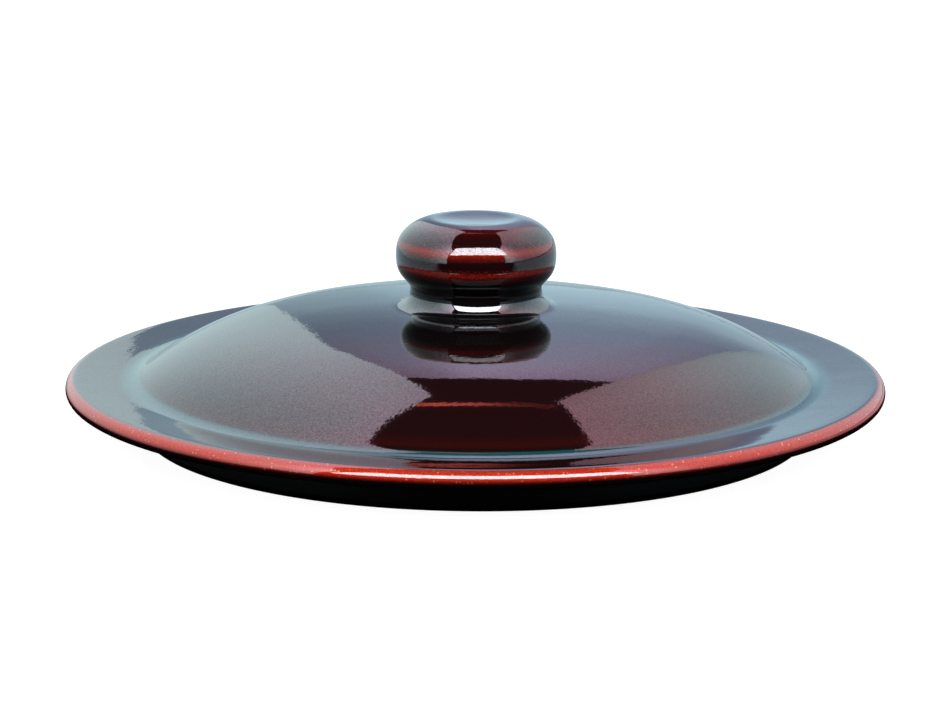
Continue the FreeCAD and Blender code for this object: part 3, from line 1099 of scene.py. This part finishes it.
@dataclass
class Studio:
    """The pale floor, the white surround and the panels.

    Attributes:
        floor_reach: Half the floor's width, in metres.
        floor_glow: How white the camera sees the floor.
        floor_mirrored: Its colour in the glaze.
        shade: The distances from the axis between which it turns from dark to that colour.
        wedge: The same across the sides of the dark wedge in front, in millimetres.
        wedge_slope: How steeply those sides run forward.
        fill: The world's strength for surfaces.
        mirrored_dark: Its strength in mirrors.
    """

    floor_reach: float = 6.0
    floor_colour: str = "#a8a8a8"
    floor_glow: float = 0.96
    floor_mirrored: str = "#c8e4f0"
    shade: Span = (165.0, 200.0)
    wedge: Span = (-30.0, 30.0)
    wedge_slope: float = 0.7
    fill: float = 0.12
    mirrored_dark: float = 0.02

    def panels(self) -> list[Panel]:
        """The two tall side panels, the back cloth, the warm bar and the softbox."""
        return [
            Panel(
                name="left_panel", azimuth=-66.0, elevation=55.3, distance=1.054, width=4.55,
                height=2.98, aside=LEFTWARDS * 0.625, foot=(0.0, LEFTWARDS * 0.12),
                tint=[
                    (0.0, "#dffcff"), (0.277, "#e6f6ff"), (0.398, "#ecf2ff"), (0.554, "#f4f0ff"),
                    (0.727, "#f7ecff"), (1.0, "#ffe5f9"),
                ],
                rise=[
                    (0.0, 1.1), (0.087, 1.4), (0.173, 1.71), (0.277, 2.06), (0.398, 2.4),
                    (0.554, 2.7), (0.727, 3.0), (1.0, 3.3),
                ],
                swell=[
                    (0.0, 2.4), (0.23, 1.9), (0.36, 1.5), (0.44, 1.12), (0.5, 1.02), (0.6, 1.08),
                    (0.66, 1.18), (0.736, 1.13), (0.815, 1.09), (0.883, 1.0), (0.94, 0.89),
                    (1.0, 0.78),
                ],
                light=0.22,
            ),
            Panel(
                name="right_panel", azimuth=70.0, elevation=53.5, distance=3.0, width=3.766,
                height=2.65, aside=0.463, foot=(0.13, 0.0),
                tint=[
                    (0.0, "#cfefff"), (0.148, "#ddf6ff"), (0.241, "#e5f6ff"), (0.352, "#faf4ff"),
                    (0.481, "#ffe3ee"), (0.63, "#ffd6e4"), (0.815, "#ffcad9"), (1.0, "#ffc4d4"),
                ],
                rise=[
                    (0.0, 1.5), (0.148, 1.55), (0.241, 1.7), (0.352, 1.87), (0.481, 2.23),
                    (0.63, 2.5), (0.815, 2.87), (1.0, 3.18),
                ],
                swell=[
                    (0.0, 0.5), (0.056, 0.77), (0.135, 0.94), (0.215, 1.0), (0.295, 1.11),
                    (0.374, 1.12), (0.5, 0.9), (0.58, 0.9), (0.66, 1.2), (0.73, 1.8), (0.8, 2.3),
                ],
                light=0.2,
            ),
            Panel(
                name="back_cloth", azimuth=3.0, elevation=27.2, distance=3.6, width=0.6,
                height=1.03,
                tint=[
                    (0.0, "#d0f1ff"), (0.1, "#cceeff"), (0.165, "#cbebff"), (0.243, "#c9e6ff"),
                    (0.34, "#c8deff"), (0.456, "#d7dbff"), (0.583, "#e2dbff"),
                    (0.728, "#e9daff"), (0.874, "#f5d8ff"),
                ],
                rise=[
                    (0.0, 1.13), (0.04, 1.17), (0.1, 1.26), (0.165, 1.35), (0.243, 1.17),
                    (0.34, 1.12), (0.456, 1.31), (0.583, 1.59), (0.728, 1.95), (0.874, 2.06),
                ],
                swell=[
                    (0.05, 0.6), (0.185, 0.58), (0.302, 0.7), (0.397, 1.08), (0.5, 1.02),
                    (0.604, 0.98), (0.708, 0.9), (0.829, 0.88), (0.95, 0.8),
                ],
                light=0.3,
            ),
            Panel(
                name="warm_bar", azimuth=3.0, elevation=63.4, distance=2.6, width=0.3,
                height=0.034, upright=False,
                tint=[(0.0, "#ff6a60"), (1.0, "#ff6a60")],
                rise=[(0.0, 2.2), (1.0, 2.2)],
                swell=[
                    (0.0, 2.0), (0.15, 2.4), (0.35, 2.3), (0.5, 1.6), (0.62, 0.8), (0.8, 0.35),
                    (1.0, 0.3),
                ],
                light=0.0,
            ),
            Panel(
                name="key_softbox", azimuth=177.0, elevation=50.4, distance=2.6, width=1.8512,
                height=1.264,
                tint=[(0.0, "#f2f6ff"), (1.0, "#f2f6ff")],
                rise=[(0.0, 21.0), (1.0, 21.0)],
                swell=[(0.0, 1.0), (1.0, 1.0)],
                light=4.9,
            ),
        ]

    def floor(self) -> None:
        """A pale floor that keeps the object's shadow and is white to the camera."""
        floor = new_plane("floor", 2 * self.floor_reach, 2 * self.floor_reach)
        material, tree = new_material("pale_floor")
        path = add_node(tree, "LightPath").outputs
        inputs = {
            "Base Color": linear(self.floor_colour),
            "Roughness": 1.0,
            "Specular IOR Level": 0.0,
            "Emission Color": WHITE,
            "Emission Strength": product(tree, path["Is Camera Ray"], self.floor_glow),
        }
        shader = add_node(tree, "BsdfPrincipled", inputs)

        # In the glaze the floor shows pale behind and beside the lid. It is dark under the lid and
        # in the wedge in front of it, where the lid shades it.
        place = add_node(tree, "TexCoord").outputs["Object"]
        parts = add_node(tree, "SeparateXYZ", {0: place}).outputs
        reach = add_node(tree, "VectorMath", {0: place}, operation="LENGTH").outputs["Value"]
        aside = combine(tree, "ABSOLUTE", parts["X"], 0.0)
        lean = combine(tree, "ADD", parts["Y"], product(tree, aside, self.wedge_slope))
        clear = product(tree, share_of(tree, reach, *self.shade), share_of(tree, lean, *self.wedge))
        pale = linear(self.floor_mirrored)
        mirrored = add_node(tree, "Emission", {"Color": pale, "Strength": clear})
        mix = {0: path["Is Glossy Ray"], 1: shader.outputs[0], 2: mirrored.outputs[0]}
        either = add_node(tree, "MixShader", mix)
        add_node(tree, "OutputMaterial", {"Surface": either.outputs[0]})
        floor.data.materials.append(material)

    def surround(self) -> None:
        """A world that is white to the camera, a faint fill to surfaces and dark in mirrors."""
        world = bpy.data.worlds.new("surround")
        world.use_nodes = True
        tree = world.node_tree
        tree.nodes.clear()
        path = add_node(tree, "LightPath").outputs
        seen = between(tree, path["Is Glossy Ray"], self.fill, self.mirrored_dark)
        strength = between(tree, path["Is Camera Ray"], seen, 1.0)
        back = add_node(tree, "Background", {"Color": WHITE, "Strength": strength})
        add_node(tree, "OutputWorld", {"Surface": back.outputs[0]})
        bpy.context.scene.world = world

    def make(self) -> None:
        """Builds the floor, the surround and the panels."""
        self.floor()
        self.surround()
        for panel in self.panels():
            panel.make()
        bpy.context.scene.view_settings.view_transform = "Standard"
        log.info("studio: floor, surround and panels")


@dataclass
class Viewpoint:
    """The camera, a little above the lid and straight in front of it.

    Attributes:
        target: The point at the middle of the picture, in millimetres.
        distance: How far the camera is from it, in millimetres.
        elevation: How steeply it looks down, in degrees.
        roll: How far it is turned about its own view, in degrees.
        focal_px: Its focal length in pixels of the photograph.
        sensor_width: Its sensor's width in millimetres.
        clip_end: How far it sees, in metres.
    """

    target: tuple[float, float, float] = (-0.906, 0.0, 21.735)
    distance: float = 1031.95
    elevation: float = 12.5318
    roll: float = 0.3068
    focal_px: float = 3510.22
    sensor_width: float = 36.0
    clip_end: float = 50.0

    def make(self) -> None:
        """Builds the camera and makes it the scene's own."""
        data = bpy.data.cameras.new("viewpoint")
        data.sensor_fit = "HORIZONTAL"
        data.sensor_width = self.sensor_width
        data.lens = self.focal_px * self.sensor_width / IMAGE_WIDTH_PX
        data.clip_end = self.clip_end
        camera = bpy.data.objects.new("viewpoint", data)
        bpy.context.scene.collection.objects.link(camera)
        lift = math.radians(self.elevation)
        back = Vector((0.0, -math.cos(lift), math.sin(lift)))
        right = Vector((1.0, 0.0, 0.0))
        facing = Matrix((right, back.cross(right), back)).transposed().to_4x4()
        middle = Vector([to_metres(value) for value in self.target])
        place = Matrix.Translation(middle + back * to_metres(self.distance))
        camera.matrix_world = place @ facing @ Matrix.Rotation(math.radians(self.roll), 4, "Z")
        bpy.context.scene.camera = camera


def main() -> None:
    """Builds the camera, the lid and the studio."""
    logging.basicConfig(level=logging.INFO, format="%(name)s: %(message)s")
    Viewpoint().make()
    Lid().make()
    Studio().make()


if __name__ == "__main__":
    main()
